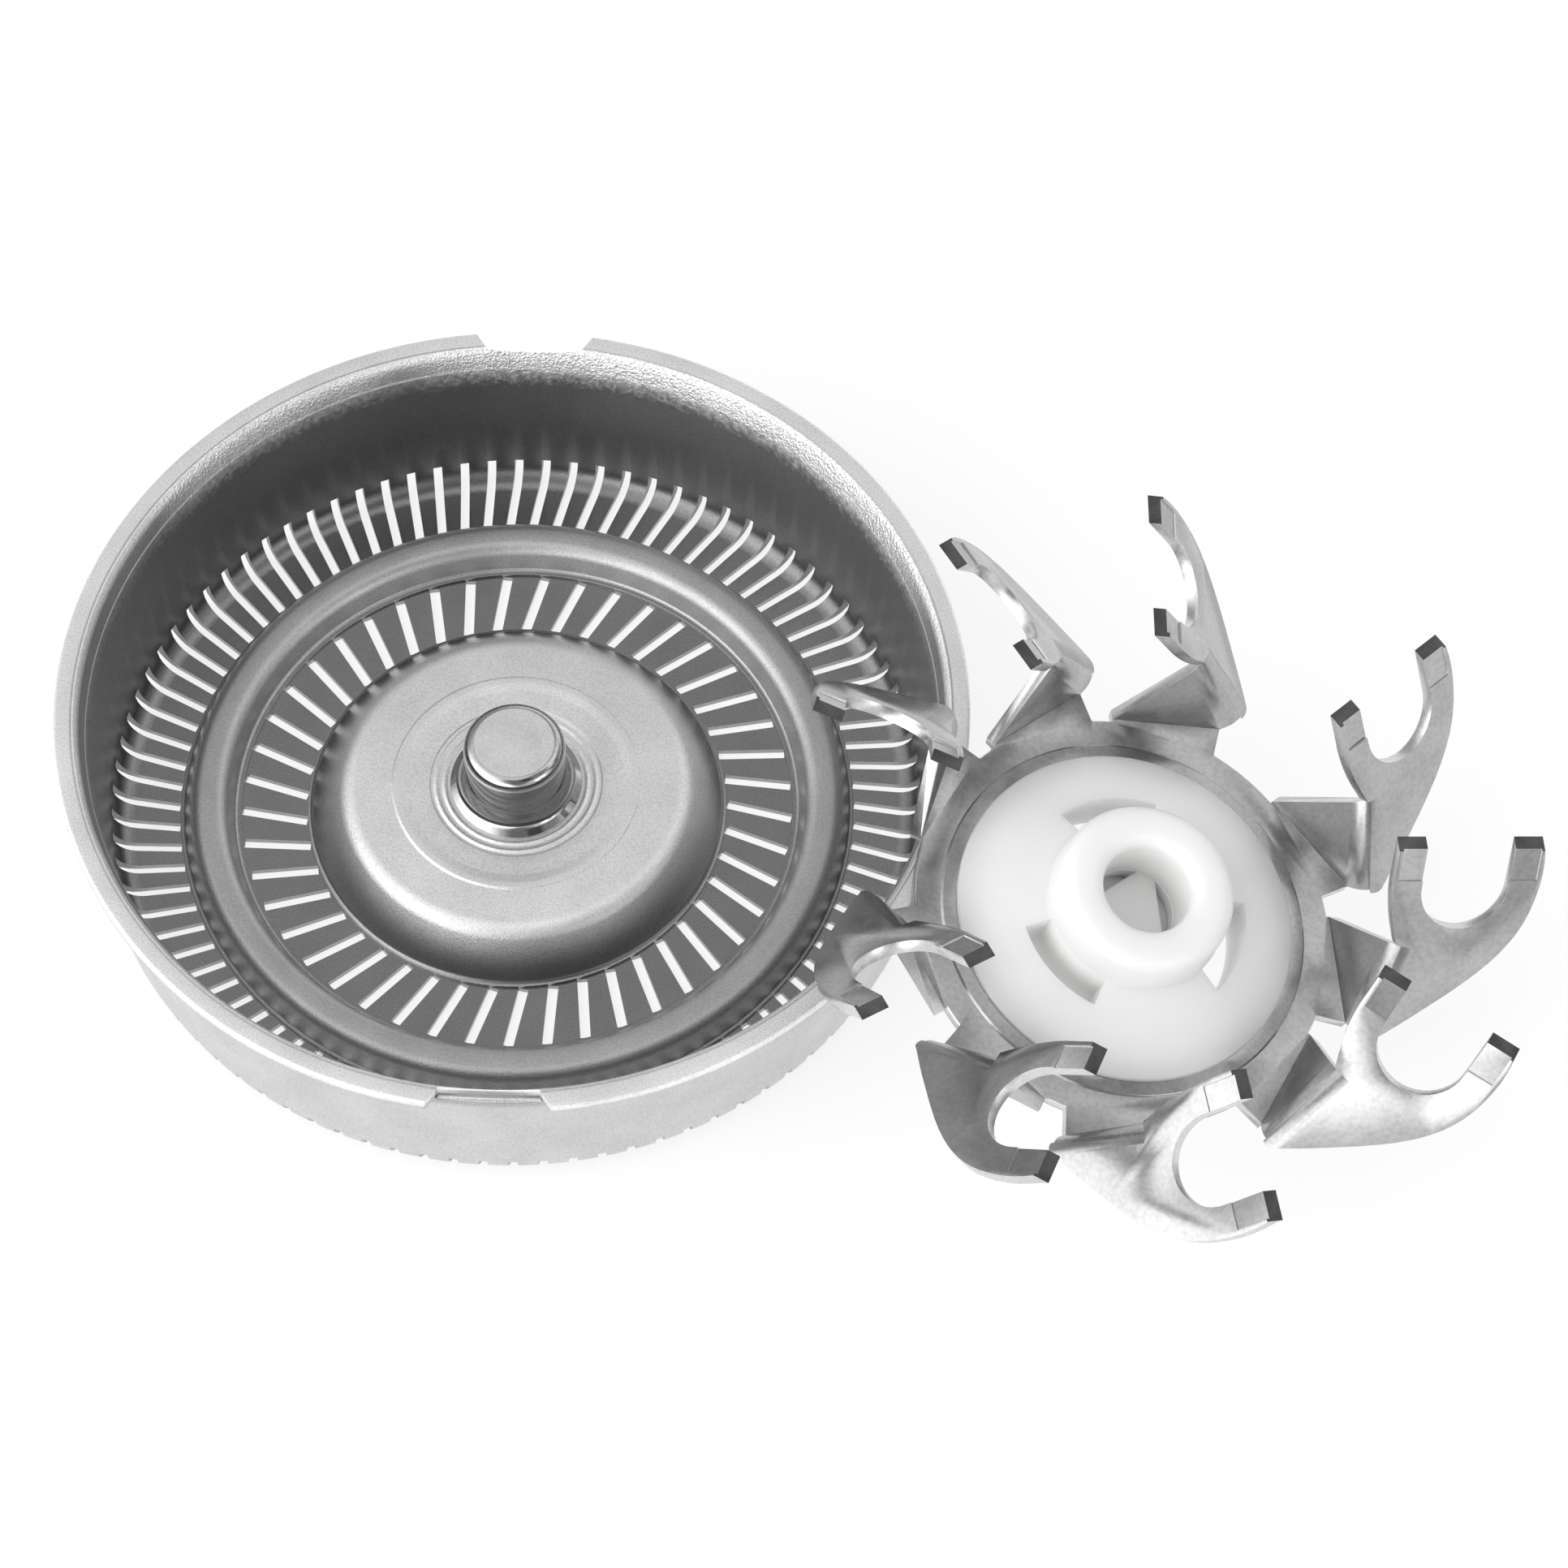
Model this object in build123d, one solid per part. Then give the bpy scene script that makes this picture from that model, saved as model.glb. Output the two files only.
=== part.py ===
from build123d import *
import math
import os

os.makedirs("parts", exist_ok=True)

# Straight runs per arc of a turned outline, and the radius under which one run does
CHORDS = 2
EDGE_BREAK = 0.20

# Guard: a drawn sheet cup, open side up, its slotted face on the ground
CUP_H = 6.6
RIM_R = 15.0
RIM_T = 0.45
RIM_EDGE = 0.12
WALL_TOP_R = 14.09
WALL_FOOT_R = 13.45
SHEET_T = 0.30
WALL_T = 0.38
FLOOR_Z = SHEET_T
TRACK_STEP = 0.10
CORNER_R = 0.75

# Slot rings: every slot lies on a line that passes the axis at one offset
SLOT_OFFSET = 1.85
INNER_SLOTS = 45
INNER_R = (7.05, 9.20)
INNER_W = 0.34
INNER_PHASE = -0.24
OUTER_SLOTS = 90
OUTER_R = 11.30
OUTER_W = 0.30
OUTER_TOP_Z = 1.02
OUTER_PHASE = 0.08
RIDGE_R = (9.45, 11.15)
RIDGE_H = 0.85

# Dome, its dished ring and the fine rings round the pin
DOME_H = 1.50
DOME_R = 5.72
DISH = (3.20, 4.10, 0.06)
RINGS = (2.38, 2.67)
RING_W = 0.20
RING_UP = 0.07
SEAT_R = 2.84
SEAT_DEPTH = 0.07

# Two notches in the rim, opposite each other
NOTCH_AT = 89.2
NOTCH_OUT_W = 4.2
NOTCH_IN_W = 3.2
NOTCH_R = 14.22

# Centre pin, riveted through the dome
PIN_R = 1.70
PIN_TOP = 3.97
PIN_ROUND = 0.44
FLANGE_R = 2.20
FLARE_R = 1.87
FLARE_UP = (0.20, 0.75)
SHANK_R = 0.90
HEAD_R = 1.35
HEAD_T = 0.18
SHANK_FIT = 0.02

# Cutter: a stamped wheel in three groups of three forked arms
BLADE_T = 0.40
BASE_R = 7.02
GROUPS = 3
GROUP_STEP = 35.3
FOLD_X = 7.08
PANEL_LEAN = 15.0
FORK_LEAN = 50.0
TIP_H = 5.91
TIP_Y = 0.09
GRIND_DOWN = 0.18
BEND_R = 0.45
FORK_INNER = ((7.42, 0.9), (7.46, 1.9), (7.62, 2.7), (7.86, 3.45))
FORK_OUTER = (
    (12.43, 0.2), (12.50, 1.0), (12.40, 2.0), (12.10, 3.0), (11.52, 3.95),
    (10.72, 4.80), (9.50, 5.80), (8.40, 6.62), (7.85, 7.00),
)
CROTCH_W = 3.62
HEEL_W = 6.95
ROOT_Y = (0.05, -3.65)
NOTCH_FLOOR_Y = -3.40
PRONG_U = (7.42, 8.40, 11.44, 12.43)
TIP_OVER = 0.45
U_CENTRE = (9.92, 1.52)
U_R = 1.50
FACET_W = 1.30
FACET_T = 0.07
PANEL_FOOT = 0.30
LIP_R = 6.15
LIP_H = 0.08
HOLE_R = 4.90

# Plastic hub clipped into the wheel: a domed disc round a collar
HUB_DISC_R = 5.65
HUB_DISC_H = 0.26
HUB_DOME = (4.30, 0.64)
HUB_FIT = 0.03
COLLAR_R = 2.95
COLLAR_FOOT_H = 1.06
COLLAR_TOP_R = 2.88
COLLAR_H = 2.60
COLLAR_ROUND = 0.60
BORE_R = 1.46
BORE_MOUTH = 0.65
BORE_DOWN = 2.16
WEB_T = 0.5
WEB_IN_R = 0.98
WEB_OUT_R = 1.30
HUB_FOOT_R = 5.45
HUB_FOOT_T = 0.55
SLEEVE_R = 2.85
SLEEVE_DOWN = 4.73
SOCKET_IN_R = 1.25
SOCKET_ROUND = 0.50
WINDOWS = 3
WINDOW_R = (2.97, 3.80)
WINDOW_ARC = 52.0
WINDOW_AT = 96.0

# Where the cutter leans on the guard, its middle measured out from the rim
CUTTER_BY_RIM = (4.960, -6.943, 5.310)
CUTTER_AT = (RIM_R + CUTTER_BY_RIM[0], CUTTER_BY_RIM[1], CUTTER_BY_RIM[2])
CUTTER_AXIS = (0.251, -0.116, 0.961)
CUTTER_TURN = 127.5

# Shift of the whole set onto its frame
SET_SHIFT = (-9.18, 2.40, 0.0)


def arc_points(start, finish, centre, radius, runs):
    """Points along an arc from start to finish, both ends included."""
    a = start - centre
    b = finish - centre
    return [centre + (a * (1 - k / runs) + b * (k / runs)).normalized() * radius for k in range(runs + 1)]


def rounded(corners, chords=0):
    """Closed wire through corners (x, y, radius), with true arcs at the radii or straight runs along them."""
    n = len(corners)
    turns = []
    for i, (x, y, r) in enumerate(corners):
        px, py = corners[i - 1][:2]
        nx, ny = corners[(i + 1) % n][:2]
        a = Vector(px - x, py - y).normalized()
        b = Vector(nx - x, ny - y).normalized()
        half = a.get_angle(b) / 2
        if r <= 0 or half > 89.5:
            turns.append([Vector(x, y)])
            continue
        reach = r / math.tan(math.radians(half))
        centre = Vector(x, y) + (a + b).normalized() * (r / math.sin(math.radians(half)))
        runs = chords if r > EDGE_BREAK else 1
        if chords == 0:
            runs = 2
        turns.append(arc_points(Vector(x, y) + a * reach, Vector(x, y) + b * reach, centre, r, runs))
    edges = []
    for i, points in enumerate(turns):
        if chords == 0 and len(points) == 3:
            edges.append(ThreePointArc(*points))
        else:
            edges += [Line(p, q) for p, q in zip(points, points[1:])]
        ahead = turns[(i + 1) % n][0]
        if (ahead - points[-1]).length > 1e-6:
            edges.append(Line(points[-1], ahead))
    return Wire(edges)


def turned(corners):
    """Solid of revolution about Z from an (r, z, radius) outline."""
    face = Plane.XZ * Face(rounded(corners, CHORDS))
    return revolve(face, Axis.Z)


def guard_profile():
    """Section of the cup from the pin hole out to the rim and back along the outside."""
    top = FLOOR_Z + DOME_H
    low = FLOOR_Z - TRACK_STEP
    seat = top - SEAT_DEPTH
    inside = [(SHANK_R + SHANK_FIT, seat, 0)]
    half = RING_W / 2
    for radius in RINGS:
        inside += [(radius - half, seat, 0), (radius, seat + RING_UP, 0.03), (radius + half, seat, 0)]
    inside += [
        (SEAT_R, seat, 0),
        (SEAT_R + 0.03, top - 0.02, 0.02),
        (DISH[0] - 0.04, top - 0.02, 0.03),
        (DISH[0], top - DISH[2], 0),
        (DISH[1], top - DISH[2], 0),
        (DISH[1] + 0.06, top, 0.03),
        (DOME_R, top, 0.75),
        (INNER_R[0] - 0.14, FLOOR_Z, 0.30),
        (INNER_R[0] - 0.04, FLOOR_Z, 0),
        (INNER_R[0] - 0.04, low, 0),
        (INNER_R[1] + 0.04, low, 0),
        (INNER_R[1] + 0.04, FLOOR_Z, 0),
        (RIDGE_R[0], FLOOR_Z, 0.12),
        (RIDGE_R[0] + 0.32, FLOOR_Z + RIDGE_H, 0.48),
        (RIDGE_R[1] - 0.32, FLOOR_Z + RIDGE_H, 0.48),
        (RIDGE_R[1], FLOOR_Z, 0.06),
        (OUTER_R - 0.04, FLOOR_Z, 0),
        (OUTER_R - 0.04, low, 0),
        (WALL_FOOT_R, low, CORNER_R),
        (WALL_TOP_R, CUP_H, 0.16),
        (RIM_R, CUP_H, RIM_EDGE),
        (RIM_R, CUP_H - RIM_T, RIM_EDGE),
    ]
    lean = (WALL_TOP_R - WALL_FOOT_R) / CUP_H
    under = CUP_H - RIM_T
    wall = WALL_FOOT_R + WALL_T
    outside = [
        (wall + lean * under, under, 0.10),
        (wall, 0, CORNER_R + SHEET_T),
        (RIDGE_R[1] - 0.10, 0, 0.15),
        (RIDGE_R[1] - 0.42, RIDGE_H - 0.05, 0.25),
        (RIDGE_R[0] + 0.42, RIDGE_H - 0.05, 0.25),
        (RIDGE_R[0] + 0.10, 0, 0.15),
        (INNER_R[0] - 0.40, 0, 0.30),
        (DOME_R - 0.22, DOME_H, 0.45),
        (SHANK_R + SHANK_FIT, DOME_H, 0),
    ]
    return inside + outside


def slot_tool(r0, r1, width, z0, z1, angle):
    """Saw-cut block of one slot, on a line that passes the axis at the common offset."""
    mid = (r0 + r1) / 2
    slant = math.asin(SLOT_OFFSET / mid)
    reach0 = math.sqrt(r0 ** 2 - SLOT_OFFSET ** 2)
    reach1 = math.sqrt(r1 ** 2 - SLOT_OFFSET ** 2)
    block = Box(reach1 - reach0, width, z1 - z0, align=(Align.MIN, Align.CENTER, Align.MIN))
    block = Pos(reach0, SLOT_OFFSET, z0) * block
    return Rot(0, 0, angle - math.degrees(slant)) * block


def notch_tool(angle):
    """Tapered cut-out of the rim at one angle."""
    half_out = NOTCH_OUT_W / 2
    half_in = NOTCH_IN_W / 2
    grow = (half_out - half_in) / (RIM_R - NOTCH_R)
    far = RIM_R + 0.5
    half_far = half_in + grow * (far - NOTCH_R)
    outline = [(NOTCH_R, -half_in, 0.15), (far, -half_far, 0), (far, half_far, 0), (NOTCH_R, half_in, 0.15)]
    tool = extrude(Face(rounded(outline)), RIM_T + 0.2, dir=(0, 0, 1))
    return Rot(0, 0, angle) * (Pos(0, 0, CUP_H - RIM_T - 0.1) * tool)


def build_guard():
    """The one-piece slotted cup."""
    cup = turned(guard_profile())
    tools = [notch_tool(NOTCH_AT), notch_tool(NOTCH_AT + 180)]
    for i in range(INNER_SLOTS):
        angle = INNER_PHASE + i * 360 / INNER_SLOTS
        tools.append(slot_tool(INNER_R[0], INNER_R[1], INNER_W, -0.2, FLOOR_Z, angle))
    for i in range(OUTER_SLOTS):
        angle = OUTER_PHASE + i * 360 / OUTER_SLOTS
        tools.append(slot_tool(OUTER_R, RIM_R, OUTER_W, -0.2, OUTER_TOP_Z, angle))
    return cup - tools


def build_pin():
    """Polished pin with its shank peened over under the dome."""
    dome = FLOOR_Z + DOME_H
    seat = dome - SEAT_DEPTH
    outline = [
        (0, DOME_H - HEAD_T, 0),
        (HEAD_R, DOME_H - HEAD_T, 0.10),
        (HEAD_R, DOME_H, 0),
        (SHANK_R, DOME_H, 0),
        (SHANK_R, seat, 0),
        (FLANGE_R, seat, 0),
        (FLANGE_R, dome, 0),
        (FLARE_R, dome + FLARE_UP[0], 0.40),
        (PIN_R, dome + FLARE_UP[1], 0.80),
        (PIN_R, FLOOR_Z + PIN_TOP, PIN_ROUND),
        (0, FLOOR_Z + PIN_TOP, 0),
    ]
    return turned(outline)


def fork_plane():
    """Front face of a fork, x outward from the axis and y up the prongs, both measured from the tip line."""
    lean = math.radians(FORK_LEAN)
    return Plane(origin=(0, TIP_Y, TIP_H), x_dir=(1, 0, 0), z_dir=(0, -math.sin(lean), math.cos(lean)))


def panel_plane():
    """Inner face of the panel that stands on the fold, x clockwise along the fold and y up the panel."""
    lean = math.radians(PANEL_LEAN)
    return Plane(origin=(FOLD_X, 0, 0), x_dir=(0, -1, 0), z_dir=(-math.cos(lean), 0, math.sin(lean)))


def fork_to_panel(w):
    """Outward position on the fork face where it crosses the panel face, w below the tip line."""
    z = TIP_H - w * math.sin(math.radians(FORK_LEAN))
    return FOLD_X + z * math.tan(math.radians(PANEL_LEAN))


def bend_ends():
    """Two ends of the bend between panel and fork, on their front faces: heel first, then crotch."""
    lean = math.radians(FORK_LEAN)
    ends = []
    for w in (HEEL_W, CROTCH_W):
        ends.append(Vector(fork_to_panel(w), TIP_Y - w * math.cos(lean), TIP_H - w * math.sin(lean)))
    return ends


def bend_axes():
    """Unit directions at the bend: along it, away from it in the panel, away from it in the fork."""
    heel, crotch = bend_ends()
    along = (crotch - heel).normalized()
    in_panel = panel_plane().z_dir.cross(along).normalized()
    in_fork = along.cross(fork_plane().z_dir).normalized()
    return along, in_panel, in_fork


def bent_bar():
    """Endless sheet angle with a rounded bend, from which panel and fork are trimmed."""
    along, in_panel, in_fork = bend_axes()
    heel = bend_ends()[0]
    section = Plane(origin=heel, x_dir=in_fork, z_dir=along)
    local = [section.to_local_coords(heel + v) for v in (in_panel, in_fork)]
    back = [section.to_local_coords(heel - v) for v in (panel_plane().z_dir, fork_plane().z_dir)]
    half = local[0].get_angle(local[1]) / 2
    inner = (local[0] + local[1]).normalized() * (BLADE_T / math.sin(math.radians(half)))
    far0 = local[0] * 6
    far1 = local[1] * 8
    corners = [
        (far0.X, far0.Y, 0),
        (0, 0, BEND_R + BLADE_T),
        (far1.X, far1.Y, 0),
        (far1.X + back[1].X * BLADE_T, far1.Y + back[1].Y * BLADE_T, 0),
        (inner.X, inner.Y, BEND_R),
        (far0.X + back[0].X * BLADE_T, far0.Y + back[0].Y * BLADE_T, 0),
    ]
    face = section * Face(rounded(corners))
    return extrude(face, 9, dir=along) + extrude(face, 4, dir=along * -1)


def sheet_mask(plane, wire):
    """Thick prism over an outline drawn on a front face."""
    face = plane * Face(wire)
    return extrude(face, 1.6, dir=plane.z_dir) + extrude(face, 1.6, dir=plane.z_dir * -1)


def past_bend(plane, points, outward):
    """Points of the bend, in the coordinates of a face, moved a little past the bend."""
    return [plane.to_local_coords(p - outward * 0.7) for p in points]


def fork_wire():
    """Outline of the fork plate with its two prongs, before the tips are ground."""
    plane = fork_plane()
    a, b, c, d = PRONG_U
    inner = [(x, -w) for x, w in FORK_INNER]
    outer = [(x, -w) for x, w in FORK_OUTER]
    heel, crotch = [plane.to_local_coords(p) for p in bend_ends()]
    far_heel, far_crotch = past_bend(plane, bend_ends(), bend_axes()[2])
    left = U_CENTRE[0] - U_R
    right = U_CENTRE[0] + U_R
    return Wire([
        Line((a, TIP_OVER), (b, TIP_OVER)),
        Line((b, TIP_OVER), (left, -U_CENTRE[1])),
        ThreePointArc((left, -U_CENTRE[1]), (U_CENTRE[0], -U_CENTRE[1] - U_R), (right, -U_CENTRE[1])),
        Line((right, -U_CENTRE[1]), (c, TIP_OVER)),
        Line((c, TIP_OVER), (d, TIP_OVER)),
        Line((d, TIP_OVER), outer[0]),
        Spline(*outer),
        ThreePointArc(outer[-1], ((outer[-1][0] + heel.X) / 2, -HEEL_W - 0.20), heel),
        Line(heel, far_heel),
        Line(far_heel, far_crotch),
        Line(far_crotch, crotch),
        Spline(crotch, *reversed(inner)),
        Line(inner[0], (a, TIP_OVER)),
    ])


def panel_wire():
    """Outline of the panel between the fold and the fork."""
    plane = panel_plane()
    heel, crotch = [plane.to_local_coords(p) for p in bend_ends()]
    far_heel, far_crotch = past_bend(plane, bend_ends(), bend_axes()[1])
    return rounded([
        (-ROOT_Y[0], -PANEL_FOOT, 0),
        (-ROOT_Y[0], 0.0, 0),
        (crotch.X, crotch.Y, 0),
        (far_crotch.X, far_crotch.Y, 0),
        (far_heel.X, far_heel.Y, 0),
        (heel.X, heel.Y, 0),
        (-ROOT_Y[1], 0.0, 0.4),
        (-ROOT_Y[1] - 0.1, -PANEL_FOOT, 0),
    ])


def build_arm():
    """One forked arm: root, panel, fork plate, ground tips and the relief behind each tip."""
    along, in_panel, in_fork = bend_axes()
    bar = bent_bar()
    split = Plane(origin=bend_ends()[0], x_dir=along, z_dir=(in_fork - in_panel).normalized())
    block = Box(40, 40, 20, align=(Align.CENTER, Align.CENTER, Align.MIN))
    above = Plane(origin=bend_ends()[1], x_dir=in_fork, z_dir=along) * block
    plate = extrude(fork_plane() * Face(fork_wire()), BLADE_T, dir=fork_plane().z_dir * -1)
    fork = bar & (split * block) & sheet_mask(fork_plane(), fork_wire())
    panel = bar & (split * (Rot(180, 0, 0) * block)) & sheet_mask(panel_plane(), panel_wire())
    arm = (fork - above) + (plate & above) + panel
    root = [
        (BASE_R - 1.2, ROOT_Y[0], 0),
        (FOLD_X + 0.04, ROOT_Y[0], 0),
        (FOLD_X + 0.04, ROOT_Y[1], 0),
        (BASE_R * 0.88, NOTCH_FLOOR_Y, 0.3),
        (BASE_R * 0.70, NOTCH_FLOOR_Y, 0),
    ]
    arm += extrude(Face(rounded(root)), BLADE_T, dir=(0, 0, -1))
    grind = Pos(10, 0, TIP_H - GRIND_DOWN) * Box(12, 12, 4, align=(Align.CENTER, Align.CENTER, Align.MIN))
    arm -= grind
    plane = fork_plane()
    for u0, u1 in ((PRONG_U[0] + 0.16, PRONG_U[1] + 0.2), (PRONG_U[2] - 0.2, PRONG_U[3] - 0.10)):
        relief = Box(u1 - u0, FACET_W + 1, FACET_T + 0.5, align=(Align.MIN, Align.MIN, Align.MIN))
        arm -= plane * (Pos(u0, -FACET_W, -FACET_T) * relief)
    return arm


def build_wheel():
    """Base ring with all nine arms."""
    wheel = turned([
        (0, -BLADE_T, 0),
        (BASE_R, -BLADE_T, 0.06),
        (BASE_R, 0, 0.04),
        (LIP_R, 0, 0),
        (LIP_R - 0.06, LIP_H, 0.03),
        (0, LIP_H, 0),
    ])
    arm = build_arm()
    for g in range(GROUPS):
        for k in (-1, 0, 1):
            wheel += Rot(0, 0, g * 360 / GROUPS + k * GROUP_STEP) * arm
    return wheel - Cylinder(HOLE_R + HUB_FIT, 4 * BLADE_T)


def build_hub():
    """Plastic hub: domed disc, collar with its bore, windows, foot under the wheel and the drive sleeve."""
    disc = HUB_DISC_H
    under = -BLADE_T
    foot = under - HUB_FOOT_T
    crown = disc + COLLAR_H
    floor = crown - BORE_DOWN
    body = turned([
        (0, -SLEEVE_DOWN, 0),
        (SLEEVE_R, -SLEEVE_DOWN, 0.15),
        (SLEEVE_R + 0.06, foot, 0.05),
        (HUB_FOOT_R, foot, 0.15),
        (HUB_FOOT_R, under, 0),
        (HOLE_R, under, 0),
        (HOLE_R, LIP_H, 0),
        (HUB_DISC_R, LIP_H, 0.03),
        (HUB_DISC_R, disc, 0.08),
        (HUB_DOME[0], disc + HUB_DOME[1], 8.0),
        (COLLAR_R, disc + COLLAR_FOOT_H, 0.12),
        (COLLAR_TOP_R, crown, COLLAR_ROUND),
        (BORE_R, crown, BORE_MOUTH),
        (BORE_R, floor, 0),
        (0, floor, 0),
    ])
    socket_top = floor - WEB_T
    socket = RegularPolygon(SOCKET_IN_R, 3, major_radius=False)
    socket = Sketch() + fillet(socket.vertices(), SOCKET_ROUND)
    drive = extrude(socket, socket_top + SLEEVE_DOWN + 0.1, dir=(0, 0, 1))
    tools = [Pos(0, 0, -SLEEVE_DOWN - 0.1) * drive]
    window = extrude(Face(arc_band(WINDOW_R[0], WINDOW_R[1], WINDOW_ARC)), 4, dir=(0, 0, 1))
    opening = extrude(Face(arc_segment(WEB_IN_R, WEB_OUT_R)), WEB_T + 0.4, dir=(0, 0, 1))
    for i in range(WINDOWS):
        turn = i * 360 / WINDOWS
        tools.append(Rot(0, 0, WINDOW_AT + turn) * (Pos(0, 0, foot - 0.5) * window))
        tools.append(Rot(0, 0, turn) * (Pos(0, 0, socket_top - 0.2) * opening))
    return body - tools


def arc_segment(chord, radius):
    """Closed wire of a circle segment beyond a chord, centred on +X."""
    half = math.sqrt(radius ** 2 - chord ** 2)
    return Wire([
        ThreePointArc((chord, -half), (radius, 0), (chord, half)),
        Line((chord, half), (chord, -half)),
    ])


def arc_band(r0, r1, arc):
    """Closed wire of a ring sector centred on +X."""
    h = math.radians(arc / 2)
    p = [(r * math.cos(s * h), r * math.sin(s * h)) for r, s in ((r0, -1), (r1, -1), (r1, 1), (r0, 1))]
    return Wire([Line(p[0], p[1]), ThreePointArc(p[1], (r1, 0), p[2]), Line(p[2], p[3]),
                 ThreePointArc(p[3], (r0, 0), p[0])])


def cutter_place():
    """Location of the leaning cutter: its own Z on the axis, turned about it."""
    z = Vector(*CUTTER_AXIS).normalized()
    x = (Vector(1, 0, 0) - z * z.X).normalized()
    plane = Plane(origin=CUTTER_AT, x_dir=x, z_dir=z)
    return plane.location * Rot(0, 0, CUTTER_TURN)


def main():
    shift = Pos(*SET_SHIFT)
    lean = shift * cutter_place()
    nodes = {
        "guard_cup": shift * build_guard(),
        "centre_pin": shift * build_pin(),
        "cutter_wheel": lean * build_wheel(),
        "drive_hub": lean * build_hub(),
    }
    for name, shape in nodes.items():
        shape.label = name
        export_step(shape, f"parts/{name}.step")
        box = shape.bounding_box()
        print(name, len(shape.solids()), [round(v, 2) for v in (*box.min, *box.max)])


main()
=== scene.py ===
"""Looks of a rotary shaver head, taken apart: slotted guard, centre pin, cutter wheel and drive hub."""

import logging
import math
from dataclasses import dataclass, field
from enum import Enum

import bmesh
import bpy
from mathutils import Matrix, Vector


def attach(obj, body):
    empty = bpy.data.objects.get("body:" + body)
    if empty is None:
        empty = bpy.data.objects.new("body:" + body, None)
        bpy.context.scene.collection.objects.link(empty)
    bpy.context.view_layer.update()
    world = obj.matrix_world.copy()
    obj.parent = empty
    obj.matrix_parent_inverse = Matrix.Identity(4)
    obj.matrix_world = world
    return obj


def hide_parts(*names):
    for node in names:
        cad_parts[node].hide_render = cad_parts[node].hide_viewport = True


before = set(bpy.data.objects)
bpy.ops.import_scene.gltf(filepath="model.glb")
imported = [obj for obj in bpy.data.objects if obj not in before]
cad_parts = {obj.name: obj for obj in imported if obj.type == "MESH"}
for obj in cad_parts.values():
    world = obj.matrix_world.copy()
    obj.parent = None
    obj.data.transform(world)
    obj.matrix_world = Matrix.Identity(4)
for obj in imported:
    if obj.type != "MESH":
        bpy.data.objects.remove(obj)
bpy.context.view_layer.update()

log = logging.getLogger("shaver_head")
MM = 0.001
GUARD_CENTRE = Vector((-9.18, 2.40, 0.0)) * MM
CUTTER_CENTRE = Vector((10.78, -4.543, 5.31)) * MM
CUTTER_AXIS = Vector((0.251, -0.116, 0.961)).normalized()
CUTTER_TURN = 127.5

Socket = bpy.types.NodeSocket
Pair = tuple[float, float]
Triple = tuple[float, float, float]
Corner = Triple


def guard_place() -> Matrix:
    """Place of the guard's own axes in the row frame."""
    return Matrix.Translation(GUARD_CENTRE)


def cutter_place() -> Matrix:
    """Place of the leaning cutter's own axes in the row frame.

    Returns:
        The place, turned about the cutter's axis so that its first arm lies on its own X.
    """
    z = CUTTER_AXIS
    x = (Vector((1, 0, 0)) - z * z.x).normalized()
    y = z.cross(x)
    axes = Matrix((x, y, z)).transposed().to_4x4()
    return Matrix.Translation(CUTTER_CENTRE) @ axes @ Matrix.Rotation(math.radians(CUTTER_TURN), 4, "Z")


# ---------------------------------------------------------------- mesh helpers


def spun(corners: list[Corner], steps: int, runs: int = 6) -> bmesh.types.BMesh:
    """Turns an outline about Z.

    Args:
        corners: Outline points as (radius, height, rounding), in millimetres. The outline is closed unless both
            its ends are on the axis.
        steps: Divisions of the full turn.
        runs: Divisions of each rounding.

    Returns:
        A new closed mesh, in millimetres, with its faces outwards.
    """
    bm = bmesh.new()
    verts = [bm.verts.new((r, 0.0, z)) for r, z, _ in corners]
    open_ends = corners[0][0] < 1e-6 and corners[-1][0] < 1e-6
    pairs = list(zip(verts, verts[1:]))
    if not open_ends:
        pairs.append((verts[-1], verts[0]))
    for a, b in pairs:
        bm.edges.new((a, b))
    n = len(corners)
    points = [Vector((r, z)) for r, z, _ in corners]
    for i, (_, _, rounding) in enumerate(corners):
        if rounding <= 0 or (open_ends and i in (0, n - 1)):
            continue
        a = (points[i - 1] - points[i]).normalized()
        b = (points[(i + 1) % n] - points[i]).normalized()
        reach = rounding / math.tan(a.angle(b) / 2)
        bmesh.ops.bevel(bm, geom=[verts[i]], offset=reach, offset_type="OFFSET", segments=runs, profile=0.5,
                        affect="VERTICES", material=-1)
    bmesh.ops.spin(bm, geom=bm.verts[:] + bm.edges[:], axis=(0, 0, 1), cent=(0, 0, 0), angle=math.tau,
                   steps=steps, use_merge=True)
    bmesh.ops.remove_doubles(bm, verts=bm.verts[:], dist=1e-5)
    bmesh.ops.recalc_face_normals(bm, faces=bm.faces[:])
    return bm


def finished(name: str, bm: bmesh.types.BMesh, place: Matrix, scale: float = MM) -> bpy.types.Object:
    """Makes an object at the origin from a mesh in its own axes, with the place put into the mesh.

    Args:
        name: Name of the object.
        bm: The mesh, which is used up.
        place: Place of the mesh's own axes in the row frame.
        scale: Metres per unit of the mesh.

    Returns:
        The object, linked to the scene.
    """
    bm.transform(place @ Matrix.Scale(scale, 4))
    mesh = bpy.data.meshes.new(name)
    bm.to_mesh(mesh)
    bm.free()
    obj = bpy.data.objects.new(name, mesh)
    bpy.context.scene.collection.objects.link(obj)
    return obj


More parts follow.
